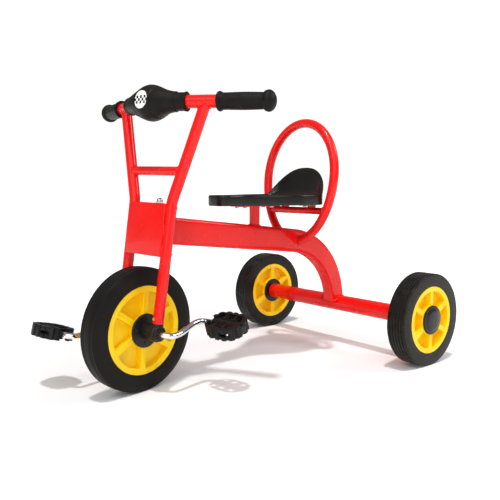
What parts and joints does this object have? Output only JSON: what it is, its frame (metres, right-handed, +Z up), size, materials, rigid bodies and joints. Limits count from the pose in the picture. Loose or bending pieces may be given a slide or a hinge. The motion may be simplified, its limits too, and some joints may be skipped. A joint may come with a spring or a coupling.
{
  "type": "child's pedal tricycle",
  "caption": "Child's tricycle with a red steel frame, hoop backrest, moulded seat, spoked plastic wheels, steering fork and pedals that drive the front wheel.",
  "frame": {"origin": "on the ground under the middle of the object's bounding box, halfway between the rear of the rear tyres and the front of the foremost pedal", "axes": "+X forward, the way the rider faces; +Y to the rider's left; +Z up"},
  "size_m": [0.8586, 0.589, 0.6038],
  "materials": {
    "red_paint": "gloss powder coat",
    "yellow_plastic": "semi-gloss moulded",
    "black_rubber": "satin rubber",
    "grip_rubber": "satin moulded rubber",
    "black_plastic": "gloss moulded",
    "pedal_plastic": "satin moulded",
    "cap_plastic": "satin moulded",
    "nylon": "satin",
    "chrome": "polished plate",
    "zinc": "zinc plated",
    "black_zinc": "black zinc plated",
    "brass": "turned",
    "roundel_white": "gloss"
  },
  "bodies": {
    "frame": {"main_beam": "red_paint", "rear_axle_tube": "red_paint", "head_tube": "red_paint", "head_bush_upper": "nylon", "head_bush_lower": "nylon", "backrest_hoop": "red_paint", "hoop_cross_tube": "red_paint", "seat_post": "red_paint", "seat_plate": "red_paint", "seat_tabs": "red_paint", "seat": "black_plastic", "seat_bolts": "zinc", "rear_axle_rod": "zinc", "axle_tube_plugs": "nylon", "axle_lock_caps": "zinc"},
    "steering": {"fork_leg_left": "red_paint", "fork_leg_right": "red_paint", "fork_crossbar": "red_paint", "front_panel": "red_paint", "yoke_upper": "red_paint", "yoke_lower": "red_paint", "king_pin": "zinc", "king_pin_nut": "zinc", "handlebar": "red_paint", "grip_left": "grip_rubber", "grip_right": "grip_rubber", "bar_pad": "grip_rubber", "pad_roundel": "roundel_white", "axle_housing_left": "black_plastic", "axle_housing_right": "black_plastic", "housing_screws": "zinc", "axle_bushes": "brass"},
    "front_wheel": {"front_tyre": "black_rubber", "front_rim": "yellow_plastic", "hub_flange_left": "black_plastic", "hub_flange_right": "black_plastic", "hub_screws": "black_zinc", "crank_axle": "chrome", "axle_washers": "nylon", "spindle_nuts": "zinc"},
    "left_pedal": {"pedal_left": "pedal_plastic", "pedal_cap_left": "cap_plastic"},
    "right_pedal": {"pedal_right": "pedal_plastic", "pedal_cap_right": "cap_plastic"},
    "left_rear_wheel": {"rear_tyre_left": "black_rubber", "rear_rim_left": "yellow_plastic", "rear_bush_left": "nylon", "hub_cap_left": "cap_plastic", "inner_disc_left": "black_plastic"},
    "right_rear_wheel": {"rear_tyre_right": "black_rubber", "rear_rim_right": "yellow_plastic", "rear_bush_right": "nylon", "hub_cap_right": "cap_plastic", "inner_disc_right": "black_plastic"}
  },
  "joints": [
    {"name": "steer", "type": "hinge", "parent": "frame", "child": "steering", "pos_m": [0.24981, 0, 0.12234], "axis": [-0.1478, 0, 0.989], "range_deg": [-54.5, 35.5]},
    {"name": "front_wheel_spin", "type": "hinge", "parent": "steering", "child": "front_wheel", "pos_m": [0.26737, 0.00297, 0.12496], "axis": [-0.1632, 0.9863, -0.0244], "continuous": true},
    {"name": "left_pedal_spin", "type": "hinge", "parent": "front_wheel", "child": "left_pedal", "pos_m": [0.14206, 0.12743, 0.13345], "axis": [-0.1632, 0.9863, -0.0244], "continuous": true},
    {"name": "right_pedal_spin", "type": "hinge", "parent": "front_wheel", "child": "right_pedal", "pos_m": [0.39268, -0.12149, 0.11648], "axis": [-0.1632, 0.9863, -0.0244], "continuous": true},
    {"name": "left_rear_wheel_spin", "type": "hinge", "parent": "frame", "child": "left_rear_wheel", "pos_m": [-0.32239, 0.265, 0.1055], "axis": [0, 1, 0], "continuous": true},
    {"name": "right_rear_wheel_spin", "type": "hinge", "parent": "frame", "child": "right_rear_wheel", "pos_m": [-0.32239, -0.265, 0.1055], "axis": [0, 1, 0], "continuous": true}
  ]
}
